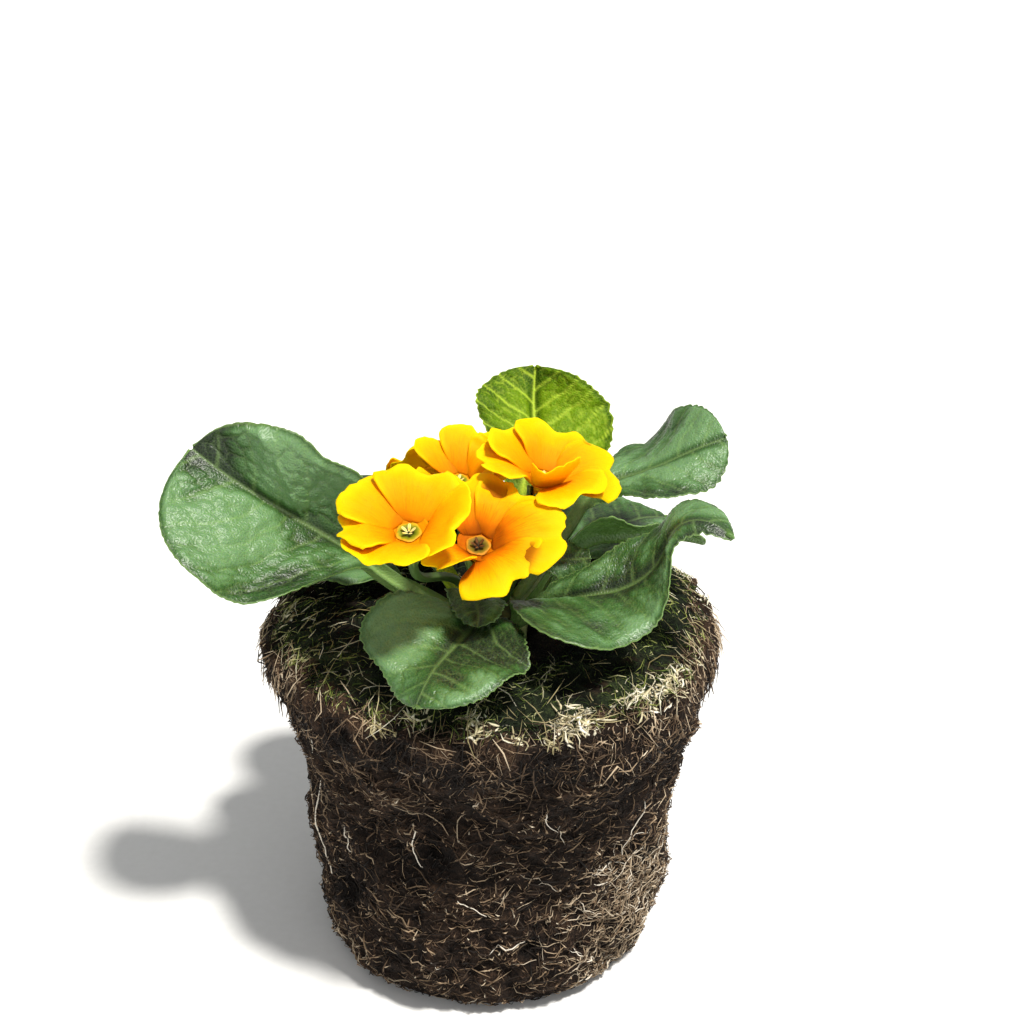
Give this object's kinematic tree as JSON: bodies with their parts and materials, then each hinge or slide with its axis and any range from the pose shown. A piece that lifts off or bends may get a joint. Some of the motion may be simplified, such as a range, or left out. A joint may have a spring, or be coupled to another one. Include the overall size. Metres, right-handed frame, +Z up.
{
  "type": "potted primrose",
  "caption": "Low garden primrose on its pot-shaped root ball: a rosette of crinkled leaves round a cluster of cupped yellow flowers, for setting out or standing on a flat surface.",
  "frame": {"origin": "centre of the flat underside of the root ball, on the ground that it stands on", "axes": "+Z up, -Y towards the side that the picture shows, +X to the right of that side"},
  "size_m": [0.1508, 0.1433, 0.1576],
  "materials": {
    "peat": "rough, fibrous and matt",
    "moss": "rough and matt",
    "leaf_green": "crinkled, half glossy",
    "young_leaf_green": "crinkled, soft sheen",
    "petal_yellow": "velvety and matt",
    "eye_green": "matt",
    "stalk_green": "soft sheen"
  },
  "bodies": {
    "root": {"root_ball": "peat", "moss_collar": "moss", "crown": "stalk_green", "leaf_left_large": "leaf_green", "leaf_front_cupped": "leaf_green", "leaf_front_small": "leaf_green", "leaf_right_folded": "leaf_green", "leaf_right_small": "leaf_green", "leaf_right_dark": "leaf_green", "leaf_right_upper": "leaf_green", "leaf_back_left": "leaf_green", "leaf_side_low": "leaf_green", "leaf_back_right": "leaf_green", "leaf_back_middle": "leaf_green", "leaf_back_bright": "young_leaf_green", "leaf_heart_bright": "young_leaf_green", "flower_front_left_corolla": "petal_yellow", "flower_front_left_eye": "eye_green", "flower_front_left_calyx": "stalk_green", "flower_front_right_corolla": "petal_yellow", "flower_front_right_eye": "eye_green", "flower_front_right_calyx": "stalk_green", "flower_right_corolla": "petal_yellow", "flower_right_eye": "eye_green", "flower_right_calyx": "stalk_green", "flower_left_back_corolla": "petal_yellow", "flower_left_back_eye": "eye_green", "flower_left_back_calyx": "stalk_green", "flower_back_corolla": "petal_yellow", "flower_back_eye": "eye_green", "flower_back_calyx": "stalk_green"}
  },
  "joints": []
}
